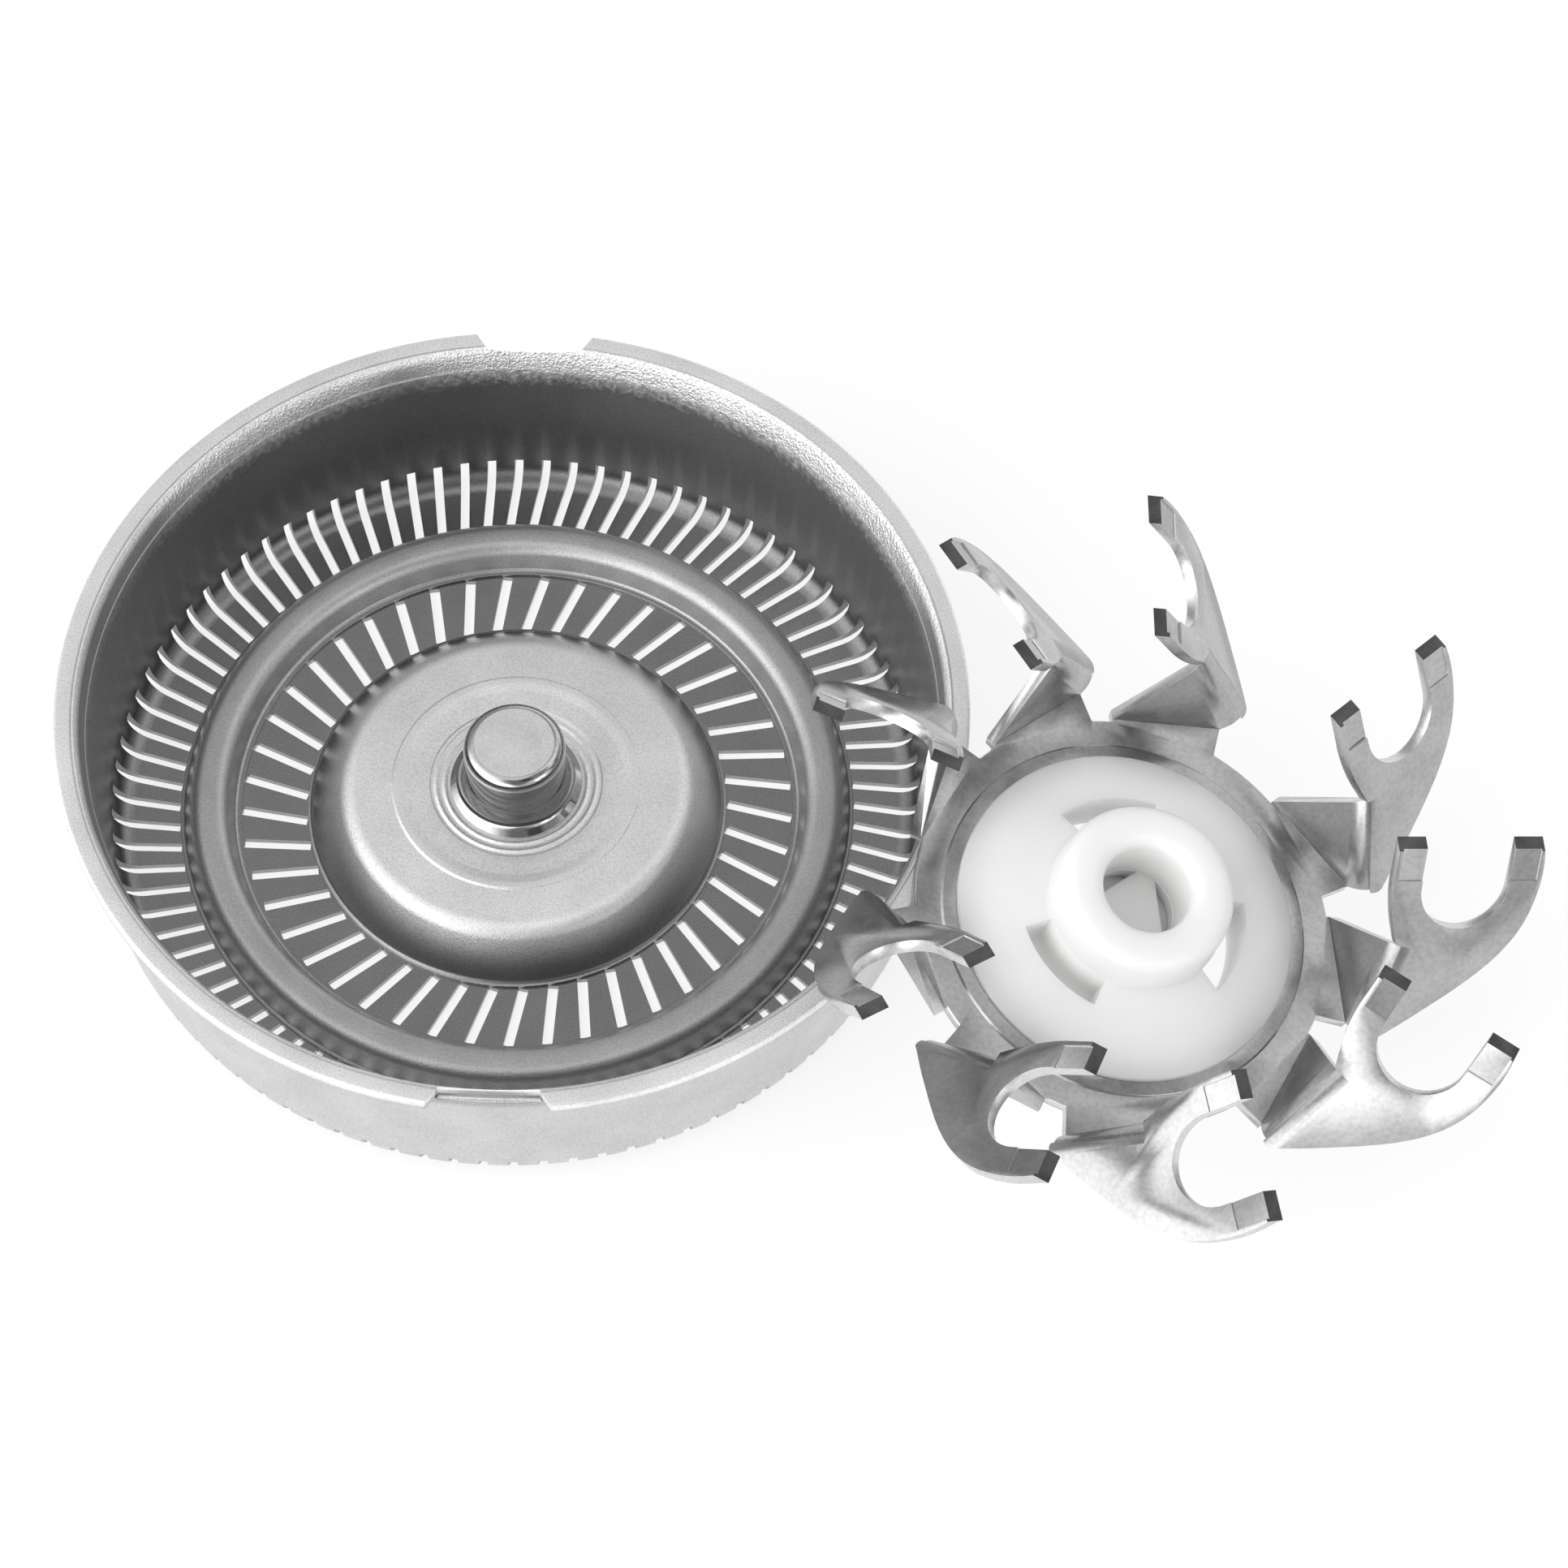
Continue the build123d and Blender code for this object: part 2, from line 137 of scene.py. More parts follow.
def carved(obj: bpy.types.Object, cutter: bpy.types.Object) -> None:
    """Cuts one object out of another and removes the cutter.

    Args:
        obj: The object that is cut.
        cutter: The object that is cut out of it.
    """
    cut = obj.modifiers.new("cut", "BOOLEAN")
    cut.operation = "DIFFERENCE"
    cut.solver = "EXACT"
    cut.object = cutter
    graph = bpy.context.evaluated_depsgraph_get()
    mesh = bpy.data.meshes.new_from_object(obj.evaluated_get(graph))
    obj.modifiers.clear()
    old = obj.data
    obj.data = mesh
    bpy.data.meshes.remove(old)
    bpy.data.objects.remove(cutter)


def smoothed(obj: bpy.types.Object, degrees: float) -> None:
    """Shades an object smooth and keeps its sharper edges sharp.

    Args:
        obj: The object.
        degrees: Angle between two faces from which their edge stays sharp.
    """
    mesh = obj.data
    mesh.polygons.foreach_set("use_smooth", [True] * len(mesh.polygons))
    mesh.set_sharp_from_angle(angle=math.radians(degrees))


def turned(degrees: float) -> Matrix:
    """Turn about Z."""
    return Matrix.Rotation(math.radians(degrees), 4, "Z")


# ---------------------------------------------------------------- finishes


class Nodes:
    """A material's node tree with short calls for the nodes that the finishes share."""

    def __init__(self, name: str, origin: Vector) -> None:
        """Starts a material.

        Args:
            name: Name of the material.
            origin: Point of the row frame on which its patterns are centred.
        """
        self.material = bpy.data.materials.new(name)
        self.material.use_nodes = True
        self.tree = self.material.node_tree
        self.shader = self.tree.nodes["Principled BSDF"]
        coords = self.tree.nodes.new("ShaderNodeTexCoord")
        mapping = self.tree.nodes.new("ShaderNodeMapping")
        mapping.inputs["Location"].default_value = -origin / MM
        mapping.inputs["Scale"].default_value = (1 / MM, 1 / MM, 1 / MM)
        self.tree.links.new(coords.outputs["Object"], mapping.inputs["Vector"])
        self.place = mapping.outputs["Vector"]

    def node(self, kind: str, **values: object) -> bpy.types.Node:
        """Adds a node.

        Args:
            kind: The node's type.
            **values: Properties to set on it.

        Returns:
            The node.
        """
        made = self.tree.nodes.new(kind)
        for key, value in values.items():
            setattr(made, key, value)
        return made

    def link(self, out: Socket, into: Socket) -> None:
        """Joins two sockets."""
        self.tree.links.new(out, into)

    def feed(self, socket: Socket, value: "Socket | float") -> None:
        """Gives an input its value.

        Args:
            socket: The input.
            value: A number, or an output to link.
        """
        if isinstance(value, (float, int)):
            socket.default_value = value
        else:
            self.link(value, socket)

    def noise(self, scale: float, detail: float = 3.0) -> Socket:
        """Noise over the piece.

        Args:
            scale: Cycles per millimetre.
            detail: Octaves of finer noise.

        Returns:
            The noise, from nought to one.
        """
        made = self.node("ShaderNodeTexNoise")
        made.inputs["Scale"].default_value = scale
        made.inputs["Detail"].default_value = detail
        self.link(self.place, made.inputs["Vector"])
        return made.outputs["Fac"]

    def ramp(self, value: Socket, stops: list[tuple[float, Triple]]) -> Socket:
        """Colour ramp over a value.

        Args:
            value: The value.
            stops: Two stops, each a position and a colour.

        Returns:
            The colour.
        """
        made = self.node("ShaderNodeValToRGB")
        for element, (at, colour) in zip(made.color_ramp.elements, stops):
            element.position = at
            element.color = (*colour, 1.0)
        self.link(value, made.inputs["Fac"])
        return made.outputs["Color"]

    def mapped(self, value: Socket, low: float, high: float, to_low: float, to_high: float) -> Socket:
        """Value mapped from one range to another, clamped.

        Args:
            value: The value.
            low: Lower end of its range.
            high: Upper end of its range.
            to_low: What the lower end becomes.
            to_high: What the upper end becomes.

        Returns:
            The mapped value.
        """
        made = self.node("ShaderNodeMapRange")
        for key, number in zip(("From Min", "From Max", "To Min", "To Max"), (low, high, to_low, to_high)):
            made.inputs[key].default_value = number
        self.link(value, made.inputs["Value"])
        return made.outputs["Result"]

    def sums(self, operation: str, first: "Socket | float", second: "Socket | float | None" = None) -> Socket:
        """One arithmetic step.

        Args:
            operation: Name of the operation.
            first: First number or output.
            second: Second number or output, where the operation has one.

        Returns:
            The result.
        """
        made = self.node("ShaderNodeMath", operation=operation)
        self.feed(made.inputs[0], first)
        if second is not None:
            self.feed(made.inputs[1], second)
        return made.outputs[0]

    def less(self, value: Socket) -> Socket:
        """One less a value."""
        return self.sums("SUBTRACT", 1.0, value)

    def times(self, first: "Socket | float", second: "Socket | float") -> Socket:
        """Product of two values."""
        return self.sums("MULTIPLY", first, second)

    def soft(self, value: Socket, low: float, high: float) -> Socket:
        """Smooth step of a value.

        Args:
            value: The value.
            low: Where the step starts.
            high: Where it ends.

        Returns:
            Nought below the step and one above it.
        """
        made = self.node("ShaderNodeMapRange", interpolation_type="SMOOTHSTEP")
        made.inputs["From Min"].default_value = low
        made.inputs["From Max"].default_value = high
        self.link(value, made.inputs["Value"])
        return made.outputs["Result"]

    def band(self, value: Socket, bounds: Pair, edge: float) -> Socket:
        """Soft band of a value.

        Args:
            value: The value.
            bounds: The band's two ends.
            edge: Half the width of each soft edge.

        Returns:
            One inside the band and nought outside.
        """
        low, high = bounds
        return self.sums("SUBTRACT", self.soft(value, low - edge, low + edge),
                         self.soft(value, high - edge, high + edge))

    def facing(self, towards: float, core: float, reach: float) -> Socket:
        """Sector about the axis.

        Args:
            towards: Its bearing, in degrees.
            core: Degrees to each side that it holds in full.
            reach: Degrees to each side at which it ends.

        Returns:
            One in the core and nought beyond the reach.
        """
        flat = self.node("ShaderNodeVectorMath", operation="MULTIPLY")
        flat.inputs[1].default_value = (1, 1, 0)
        unit = self.node("ShaderNodeVectorMath", operation="NORMALIZE")
        side = self.node("ShaderNodeVectorMath", operation="DOT_PRODUCT")
        turn = math.radians(towards)
        side.inputs[1].default_value = (math.cos(turn), math.sin(turn), 0)
        self.link(self.place, flat.inputs[0])
        self.link(flat.outputs[0], unit.inputs[0])
        self.link(unit.outputs[0], side.inputs[0])
        return self.soft(side.outputs["Value"], math.cos(math.radians(reach)), math.cos(math.radians(core)))

    def rings(self) -> tuple[Socket, Socket]:
        """Cylindrical coordinates of the piece.

        Returns:
            Distance from the axis and height above the plane of the piece, in millimetres.
        """
        parts = self.node("ShaderNodeSeparateXYZ")
        self.link(self.place, parts.inputs[0])
        x, y, z = parts.outputs
        return self.sums("SQRT", self.sums("ADD", self.times(x, x), self.times(y, y))), z

    def blended(self, factor: Socket, first: "Socket | float", second: "Socket | float") -> Socket:
        """Number mixed from one value to another.

        Args:
            factor: Nought for the first, one for the second.
            first: First number or output.
            second: Second number or output.

        Returns:
            The mixed number.
        """
        made = self.node("ShaderNodeMix", data_type="FLOAT")
        for socket, value in zip((made.inputs[0], made.inputs[2], made.inputs[3]), (factor, first, second)):
            self.feed(socket, value)
        return made.outputs[0]

    def tinted(self, first: Socket, second: Socket) -> Socket:
        """Colour tinted by another.

        Args:
            first: The colour.
            second: The tint.

        Returns:
            Their product.
        """
        made = self.node("ShaderNodeMix", data_type="RGBA", blend_type="MULTIPLY")
        for socket, value in zip((made.inputs[0], made.inputs[6], made.inputs[7]), (1.0, first, second)):
            self.feed(socket, value)
        return made.outputs[2]

    def bump(self, height: Socket, strength: float, reach: float, after: "Socket | None" = None) -> Socket:
        """Bump.

        Args:
            height: The relief, from nought to one.
            strength: Its strength.
            reach: Its depth, in millimetres.
            after: A bump that it comes on top of.

        Returns:
            The normal.
        """
        made = self.node("ShaderNodeBump")
        made.inputs["Strength"].default_value = strength
        made.inputs["Distance"].default_value = reach * MM
        self.link(height, made.inputs["Height"])
        if after is not None:
            self.link(after, made.inputs["Normal"])
        return made.outputs["Normal"]


def greys(low: float, high: float, stops: Pair) -> list[tuple[float, Triple]]:
    """Two grey stops of a ramp."""
    return [(stops[0], (low,) * 3), (stops[1], (high,) * 3)]


@dataclass(frozen=True)
class Steel:
    """Steel finish: cloudiness, roughness and grain, with scales in cycles per millimetre."""

    name: str
    grey: float
    cloud: float
    roughness: float
    grain: float
    grain_bump: float
    origin: Vector = field(default_factory=lambda: GUARD_CENTRE)
    cloud_scale: float = 0.55
    speck_grey: float = 0.86
    rough_scale: float = 1.1
    rough_spread: float = 0.15
    grain_depth: float = 0.02

    def material(self) -> bpy.types.Material:
        """Builds the finish.

        Returns:
            The material.
        """
        n = Nodes(self.name, self.origin)
        low = self.grey * (1 - self.cloud)
        high = min(1.0, self.grey * (1 + self.cloud))
        cloud = n.ramp(n.noise(self.cloud_scale, 4.0), greys(low, high, (0.32, 0.68)))
        grain = n.noise(self.grain, 2.0)
        speck = n.ramp(grain, greys(self.speck_grey, 1.0, (0.30, 0.62)))
        n.link(n.tinted(cloud, speck), n.shader.inputs["Base Color"])
        n.shader.inputs["Metallic"].default_value = 1.0
        rough = n.mapped(n.noise(self.rough_scale), 0.3, 0.7, self.roughness * (1 - self.rough_spread),
                         self.roughness * (1 + self.rough_spread))
        n.link(rough, n.shader.inputs["Roughness"])
        n.link(n.bump(grain, self.grain_bump, self.grain_depth), n.shader.inputs["Normal"])
        return n.material


@dataclass(frozen=True)
class Zone:
    """Grey and roughness of one zone of the guard."""

    grey: float
    roughness: float


@dataclass(frozen=True)
class GuardSteel:
    """Finish of the guard: polished tracks and wall, satin dome, ridge, flange and outside, with painted light
    and shade in its greys.

    Radii and heights are in millimetres. A skin radius is taken back along the wall's lean to the height of the
    plane of the piece, so that one number parts the inside of the wall from its outside. A sector is its bearing,
    its core to each side and its reach to each side, in degrees.
    """

    name: str
    track: Zone
    wall: Zone
    ridge: Zone
    dome: Zone
    flange: Zone
    outside: Zone
    grain: float = 15.0
    cloud: Pair = (0.93, 1.05)
    speck: Pair = (0.80, 1.0)
    lean: float = 0.097
    wall_r: Pair = (12.6, 13.4)
    ridge_r: Pair = (9.40, 11.14)
    dome_r: Pair = (5.75, 6.80)
    outside_skin_r: Pair = (13.62, 13.70)
    lip_skin_r: Pair = (13.74, 13.80)
    lip_z: Pair = (5.0, 6.1)
    lip_raggedness: float = 1.1
    # Painted highlight: the upper inside of the wall is painted as bright as the flange, in full in a sector
    # about 62°, in part about 128°, and with a smaller share all round.
    lip_sheen_elsewhere: float = 0.30
    painted_sheen_sector: Triple = (62, 26, 52)
    painted_half_sheen_sector: Triple = (128, 6, 24)
    painted_half_sheen: float = 0.7
    hammer: float = 11.0
    hammer_depth: float = 0.075
    flange_z: Pair = (6.30, 6.56)
    flange_top_z: Pair = (6.28, 6.42)
    notch_ledge_z: Pair = (5.81, 5.89)
    # Painted shade: a dark line in the crease under the flange on the outside of the wall, and one along the
    # flange's inner edge.
    crease_shade_z: Pair = (5.98, 6.16)
    groove_r: Pair = (14.38, 14.44)
    painted_line_shade: float = 0.62

    def material(self) -> bpy.types.Material:
        """Builds the finish from rings round the guard's axis.

        Returns:
            The material.
        """
        n = Nodes(self.name, GUARD_CENTRE)
        r, z = n.rings()
        skin = n.sums("SUBTRACT", r, n.times(z, self.lean))
        grain = n.noise(self.grain, 2.0)
        # Painted highlight: the sectors by bearing paint the upper inside of the wall towards the flange's grey.
        half = n.times(n.facing(*self.painted_half_sheen_sector), self.painted_half_sheen)
        painted_sheen = n.sums("MAXIMUM", n.facing(*self.painted_sheen_sector), half)
        lip = self.lip(n, z, skin)
        grey, rough = self.zones(n, r, z, skin, n.times(lip, n.mapped(painted_sheen, 0.0, 1.0, self.lip_sheen_elsewhere, 1.0)))
        cloud = n.mapped(n.noise(0.5, 4.0), 0.3, 0.7, *self.cloud)
        speck = n.mapped(grain, 0.30, 0.60, *self.speck)
        level = n.times(n.times(grey, cloud), n.times(speck, self.lines(n, r, z, skin, painted_sheen)))
        colour = n.node("ShaderNodeCombineColor")
        for socket in colour.inputs[:3]:
            n.link(level, socket)
        n.link(colour.outputs[0], n.shader.inputs["Base Color"])
        n.shader.inputs["Metallic"].default_value = 1.0
        n.link(rough, n.shader.inputs["Roughness"])
        fine = n.bump(n.times(grain, n.mapped(rough, 0.25, 0.5, 0.25, 1.0)), 0.45, 0.02)
        hammered = n.times(n.noise(self.hammer, 2.0), n.times(lip, n.mapped(painted_sheen, 0.0, 1.0, 0.2, 1.0)))
        n.link(n.bump(hammered, 1.0, self.hammer_depth, fine), n.shader.inputs["Normal"])
        return n.material

    def lip(self, n: Nodes, z: Socket, skin: Socket) -> Socket:
        """Upper inside of the wall, with a ragged lower edge, where the highlight is painted and the hammering is
        bumped.
        """
        ragged = n.sums("ADD", z, n.times(n.sums("SUBTRACT", n.noise(5.0), 0.5), self.lip_raggedness))
        return n.times(n.soft(ragged, *self.lip_z), n.less(n.soft(skin, *self.lip_skin_r)))

    def zones(self, n: Nodes, r: Socket, z: Socket, skin: Socket, painted_lip_sheen: Socket) -> tuple[Socket, Socket]:
        """Grey and roughness all over the guard.

        Args:
            n: The material's nodes.
            r: Distance from the axis.
            z: Height.
            skin: Skin radius.
            painted_lip_sheen: How far the upper wall is painted as bright as the flange, a painted highlight.

        Returns:
            The grey and the roughness.
        """
        masks = (
            (n.soft(r, *self.wall_r), self.wall),
            (n.band(r, self.ridge_r, 0.10), self.ridge),
            (n.less(n.soft(r, *self.dome_r)), self.dome),
            # Painted highlight on the upper inside of the wall.
            (painted_lip_sheen, self.flange),
            (n.soft(z, *self.flange_z), self.flange),
            (n.soft(skin, *self.outside_skin_r), self.outside),
            (n.band(z, self.notch_ledge_z, 0.02), self.flange),
        )
        grey = self.track.grey
        rough = self.track.roughness
        for mask, zone in masks:
            grey = n.blended(mask, grey, zone.grey)
            rough = n.blended(mask, rough, zone.roughness)
        return n.blended(n.soft(z, *self.flange_top_z), grey, self.flange.grey), rough

    def lines(self, n: Nodes, r: Socket, z: Socket, skin: Socket, painted_sheen: Socket) -> Socket:
        """Shade of the crease under the flange and of the fine groove along its inner edge.

        Args:
            n: The material's nodes.
            r: Distance from the axis.
            z: Height.
            skin: Skin radius.
            painted_sheen: Sector of the painted highlight, where the groove's painted shade is fainter.

        Returns:
            One on plain metal, and less in the lines.
        """
        crease = n.times(n.band(z, self.crease_shade_z, 0.05), n.soft(skin, *self.outside_skin_r))
        groove = n.times(n.band(r, self.groove_r, 0.03), n.mapped(painted_sheen, 0.0, 1.0, 0.7, 0.1))
        return n.less(n.times(n.sums("ADD", crease, groove), self.painted_line_shade))


@dataclass(frozen=True)
class HubPlastic:
    """White, slightly translucent moulded plastic."""

    name: str
    colour: Triple
    roughness: float = 0.32
    translucency: float = 0.7
    translucency_mm: float = 1.2

    def material(self) -> bpy.types.Material:
        """Builds the finish.

        Returns:
            The material.
        """
        n = Nodes(self.name, CUTTER_CENTRE)
        darker = tuple(part * 0.97 for part in self.colour)
        cloud = n.ramp(n.noise(0.35, 2.0), [(0.3, darker), (0.7, self.colour)])
        n.link(cloud, n.shader.inputs["Base Color"])
        n.shader.inputs["Roughness"].default_value = self.roughness
        n.shader.inputs["Subsurface Weight"].default_value = self.translucency
        n.shader.inputs["Subsurface Radius"].default_value = (1.0, 1.0, 1.0)
        n.shader.inputs["Subsurface Scale"].default_value = self.translucency_mm * MM
        n.link(n.bump(n.noise(1.2, 2.0), 0.25, 0.02), n.shader.inputs["Normal"])
        return n.material


class Finish(Enum):
    """The finishes, by the surface that shows each."""

    # The guard's zone greys run from 0.21 to 0.97 on one steel: the dark greys of the wall and tracks are painted
    # shade, the near-white greys of the dome and flange painted light; their roughness is the real finish.
    GUARD = GuardSteel("guard_satin_painted_light", track=Zone(0.36, 0.26), wall=Zone(0.21, 0.36), ridge=Zone(0.58, 0.44),
                       dome=Zone(0.97, 0.45), flange=Zone(0.97, 0.44), outside=Zone(0.68, 0.48))
    PIN = Steel("pin_polish", grey=0.52, cloud=0.02, roughness=0.06, grain=8.0, grain_bump=0.02)
    # The pin's sides take the pin's polish painted much darker: a painted dark reflection.
    PIN_SIDE = Steel("pin_side_painted_dark_reflection", grey=0.19, cloud=0.02, roughness=0.10, grain=8.0, grain_bump=0.02)
    PIN_END = Steel("pin_end_satin", grey=0.80, cloud=0.03, roughness=0.55, grain=12.0, grain_bump=0.15)
    CUTTER = Steel("cutter_satin", grey=0.45, cloud=0.10, roughness=0.25, grain=6.0, grain_bump=0.10,
                   origin=CUTTER_CENTRE)
    EDGE = Steel("sheared_edge", grey=0.70, cloud=0.08, roughness=0.30, grain=9.0, grain_bump=0.10,
                 origin=CUTTER_CENTRE)
    TIP = Steel("ground_tip", grey=0.11, cloud=0.15, roughness=0.35, grain=16.0, grain_bump=0.30,
                origin=CUTTER_CENTRE)
    HUB = HubPlastic("hub_plastic", (0.86, 0.86, 0.855))


def dressed(obj: bpy.types.Object, finishes: tuple[Finish, ...], node: str) -> None:
    """Gives a piece its finishes and its place in the model.

    Args:
        obj: The piece.
        finishes: Its finishes, by material index.
        node: The CAD node that it stands for.
    """
    for finish in finishes:
        obj.data.materials.append(finish.value.material())
    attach(obj, "root")
    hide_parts(node)


# ---------------------------------------------------------------- the pieces


@dataclass
class Guard:
    """The slotted sheet-metal cup, in its own axes, in millimetres."""

    steps: int = 360
    runs: int = 5
    height: float = 6.6
    rim_r: float = 14.995
    rim_t: float = 0.45
    rim_round: float = 0.12
    wall_top_r: float = 14.09
    wall_foot_r: float = 13.45
    wall_t: float = 0.38
    floor_z: float = 0.30
    track_step: float = 0.10
    inner_track_r: Pair = (7.01, 9.24)
    outer_track_r: float = 11.26
    corner_round: float = 0.75
    slot_offset: float = 1.85
    inner_r: Pair = (7.05, 9.20)
    inner_w: float = 0.34
    inner_count: int = 45
    inner_phase: float = -0.24
    outer_r: Pair = (11.30, 15.4)
    outer_w: float = 0.30
    outer_count: int = 90
    outer_phase: float = 0.08
    outer_top: float = 1.02
    slot_over: float = 0.2
    ridge_foot_r: Pair = (9.45, 11.15)
    ridge_top_r: Pair = (9.77, 10.83)
    ridge_h: float = 0.85
    dome_h: float = 1.50
    dome_r: float = 5.72
    dome_foot_r: float = 6.91
    dish_r: tuple[float, float, float, float] = (3.30, 3.60, 3.90, 4.10)
    dish_depth: float = 0.03
    shoulder_depth: float = 0.05
    seat_r: float = 2.84
    seat_depth: float = 0.07
    ring_r: Pair = (2.38, 2.67)
    ring_w: float = 0.20
    ring_up: float = 0.05
    shank_r: float = 0.92
    notch_at: Pair = (89.2, 269.2)
    notch_r: Pair = (14.22, 15.52)
    notch_z: Pair = (5.85, 6.85)
    notch_w: float = 3.2
    notch_splay: float = 0.83

    def dome_line(self) -> list[Corner]:
        """Inside of the section from the pin hole to the foot of the dome.

        Returns:
            Corners of the seat, the rings, the dish and the shoulder.
        """
        top = self.floor_z + self.dome_h
        seat = top - self.seat_depth
        shoulder = top - self.shoulder_depth
        half = self.ring_w / 2
        line = [(self.shank_r, seat, 0.0)]
        for r in self.ring_r:
            line += [(r - half, seat, 0.03), (r, seat + self.ring_up, 0.05), (r + half, seat, 0.03)]
        dish = top - self.dish_depth
        a, b, c, d = self.dish_r
        return line + [
            (self.seat_r, seat, 0.03), (self.seat_r + 0.06, top - 0.02, 0.04),
            (a, dish, 0.3), (b, dish, 0.3), (c, top, 0.3), (d, top, 0.03), (d + 0.07, shoulder, 0.04),
            (self.dome_r, shoulder, 0.80), (self.dome_foot_r, self.floor_z, 0.30),
        ]

    def track_line(self) -> list[Corner]:
        """Inside of the section from the dome to the wall.

        Returns:
            Corners of the inner track, the ridge, the outer track and the wall's foot.
        """
        f = self.floor_z
        low = f - self.track_step
        ridge = f + self.ridge_h
        return [
            (self.inner_track_r[0], f, 0.02), (self.inner_track_r[0], low, 0.0),
            (self.inner_track_r[1], low, 0.0), (self.inner_track_r[1], f, 0.02),
            (self.ridge_foot_r[0], f, 0.12), (self.ridge_top_r[0], ridge, 0.48),
            (self.ridge_top_r[1], ridge, 0.48), (self.ridge_foot_r[1], f, 0.06),
            (self.outer_track_r, f, 0.02), (self.outer_track_r, low, 0.0),
            (self.wall_foot_r, low, self.corner_round),
        ]

    def lip_line(self) -> list[Corner]:
        """Upper end of the section, where the wall flares into the flange.

        Returns:
            Corners of the lip and of the flange's rim.
        """
        r = self.wall_top_r
        h = self.height
        return [
            (r - 0.21, h - 1.4, 0.8), (r - 0.12, h - 0.8, 0.6), (r + 0.01, h - 0.40, 0.5),
            (r + 0.13, h - 0.15, 0.2), (r + 0.25, h, 0.06),
            (self.rim_r, h, self.rim_round), (self.rim_r, h - self.rim_t, self.rim_round),
        ]

    def under_line(self) -> list[Corner]:
        """Outside of the section, from the flange's underside back to the pin hole.

        Returns:
            Corners of the wall, the ridge's hollow and the dome's hollow.
        """
        lean = (self.wall_top_r - self.wall_foot_r) / self.height
        under = self.height - self.rim_t
        wall = self.wall_foot_r + self.wall_t
        return [
            (wall + lean * under, under, 0.10), (wall, 0.0, 1.05), (11.05, 0.0, 0.15), (10.73, 0.80, 0.25),
            (9.87, 0.80, 0.25), (9.55, 0.0, 0.15), (6.65, 0.0, 0.30), (5.50, self.dome_h, 0.45),
            (self.shank_r, self.dome_h, 0.0),
        ]

    def outline(self) -> list[Corner]:
        """Closed section of the cup."""
        return self.dome_line() + self.track_line() + self.lip_line() + self.under_line()

    def slot_row(self, bm: bmesh.types.BMesh, reach: Pair, width: float, top: float, count: int,
                 phase: float) -> None:
        """Adds one ring of slots as blocks.

        Args:
            bm: The mesh that takes them.
            reach: Radii of their two ends.
            width: Their width.
            top: Their upper end.
            count: How many there are.
            phase: Bearing of the first, in degrees.
        """
        start, end = reach
        mid = (start + min(end, self.rim_r)) / 2
        slant = math.degrees(math.asin(self.slot_offset / mid))
        x0 = math.sqrt(start ** 2 - self.slot_offset ** 2)
        x1 = math.sqrt(end ** 2 - self.slot_offset ** 2)
        size = Matrix.Diagonal((x1 - x0, width, top + self.slot_over, 1.0))
        at = Matrix.Translation(((x0 + x1) / 2, self.slot_offset, (top - self.slot_over) / 2))
        for i in range(count):
            bmesh.ops.create_cube(bm, size=1.0, matrix=turned(phase - slant + i * 360 / count) @ at @ size)

    def notch(self, bm: bmesh.types.BMesh, bearing: float) -> None:
        """Adds one notch of the flange as a block that widens outwards.

        Args:
            bm: The mesh that takes it.
            bearing: Its bearing, in degrees.
        """
        turn = turned(bearing)
        r0, r1 = self.notch_r
        z0, z1 = self.notch_z
        at = Matrix.Translation(((r0 + r1) / 2, 0, (z0 + z1) / 2))
        size = Matrix.Diagonal((r1 - r0, self.notch_w, z1 - z0, 1.0))
        made = bmesh.ops.create_cube(bm, size=1.0, matrix=turn @ at @ size)
        out = turn @ Vector((1, 0, 0))
        side = turn @ Vector((0, 1, 0))
        for v in made["verts"]:
            if v.co.dot(out) > (r0 + r1) / 2:
                v.co += side * math.copysign(self.notch_splay, v.co.dot(side))

    def slot_cutter(self) -> bpy.types.Object:
        """Puts all slots and the two notches in one set of blocks.

        Returns:
            The object to cut out of the cup.
        """
        bm = bmesh.new()
        self.slot_row(bm, self.inner_r, self.inner_w, self.floor_z, self.inner_count, self.inner_phase)
        self.slot_row(bm, self.outer_r, self.outer_w, self.outer_top, self.outer_count, self.outer_phase)
        for bearing in self.notch_at:
            self.notch(bm, bearing)
        bmesh.ops.recalc_face_normals(bm, faces=bm.faces[:])
        return finished("slot_cutter", bm, guard_place())

    def build(self) -> bpy.types.Object:
        """Turns the cup, cuts its slots and notches, and dresses it.

        Returns:
            The cup.
        """
        cup = finished("guard_shell", spun(self.outline(), self.steps, self.runs), guard_place())
        carved(cup, self.slot_cutter())
        smoothed(cup, 32)
        dressed(cup, (Finish.GUARD,), "guard_cup")
        return cup


